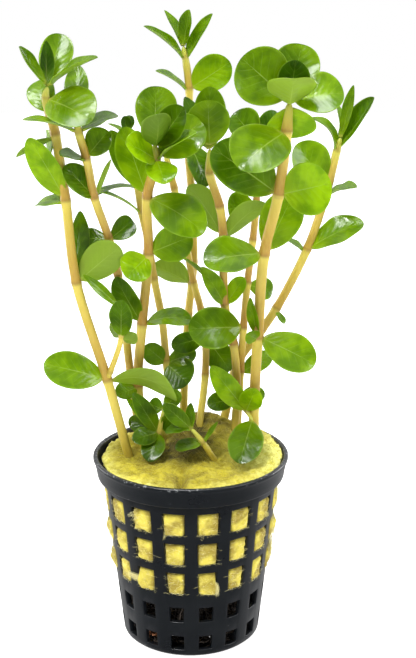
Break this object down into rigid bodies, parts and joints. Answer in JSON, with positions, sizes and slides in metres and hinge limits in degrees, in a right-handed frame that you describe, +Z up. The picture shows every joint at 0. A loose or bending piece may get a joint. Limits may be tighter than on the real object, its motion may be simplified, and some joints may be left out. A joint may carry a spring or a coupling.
{
  "type": "potted aquarium plant",
  "caption": "Bunch of leafy upright aquarium stems rooted in yellow rock wool inside a round flared basket pot with a broad rim and rows of square holes.",
  "frame": {"origin": "middle of the pot's flat underside", "axes": "+Z up along the pot's axis, -Y the plant's front as pictured, +X its right"},
  "size_m": [0.0905, 0.0535, 0.1645],
  "materials": {
    "net_pot": "black moulded polypropylene, satin, lightly scuffed",
    "rock_wool": "yellow mineral wool, fibrous and damp",
    "stem": "smooth living stem, yellow to pinkish tan, satin",
    "leaf": "living leaf, glossy green above, paler below"
  },
  "bodies": {
    "root": {"leaf_centre_left_high_left": "leaf", "leaf_centre_left_high_right": "leaf", "leaf_centre_left_low_left": "leaf", "leaf_centre_left_low_right": "leaf", "leaf_centre_left_middle_right": "leaf", "leaf_centre_left_top_back": "leaf", "leaf_centre_left_upper_right": "leaf", "leaf_centre_right_middle_left": "leaf", "leaf_centre_right_top_front": "leaf", "leaf_far_left_high_left": "leaf", "leaf_far_left_low_left": "leaf", "leaf_far_left_low_right": "leaf", "leaf_far_left_middle_back": "leaf", "leaf_far_left_middle_right": "leaf", "leaf_far_left_top_back": "leaf", "leaf_far_left_top_left": "leaf", "leaf_far_left_top_right": "leaf", "leaf_far_left_upper_left": "leaf", "leaf_far_left_upper_right": "leaf", "leaf_inner_right_low_left": "leaf", "leaf_inner_right_top_left": "leaf", "leaf_leaning_right_high_left": "leaf", "leaf_leaning_right_middle_right": "leaf", "leaf_leaning_right_top_right": "leaf", "leaf_left_top_left": "leaf", "leaf_left_top_right": "leaf", "leaf_left_upper_right": "leaf", "leaf_right_high_left": "leaf", "leaf_right_high_right": "leaf", "leaf_right_low_right": "leaf", "leaf_right_middle_back": "leaf", "leaf_right_middle_left": "leaf", "leaf_right_top_back": "leaf", "leaf_right_top_left": "leaf", "leaf_right_top_right": "leaf", "leaf_right_upper_front": "leaf", "leaf_tallest_low_left": "leaf", "leaf_tallest_upper_right": "leaf", "net_pot": "net_pot", "rock_wool": "rock_wool", "shoot_far_left": "stem", "shoot_front": "stem", "shoot_inner_left": "stem", "shoot_right": "stem", "stem_centre_left": "stem", "stem_centre_right": "stem", "stem_far_left": "stem", "stem_inner_left": "stem", "stem_inner_middle": "stem", "stem_inner_right": "stem", "stem_leaning_right": "stem", "stem_left": "stem", "stem_right": "stem", "stem_tallest": "stem"}
  },
  "joints": []
}
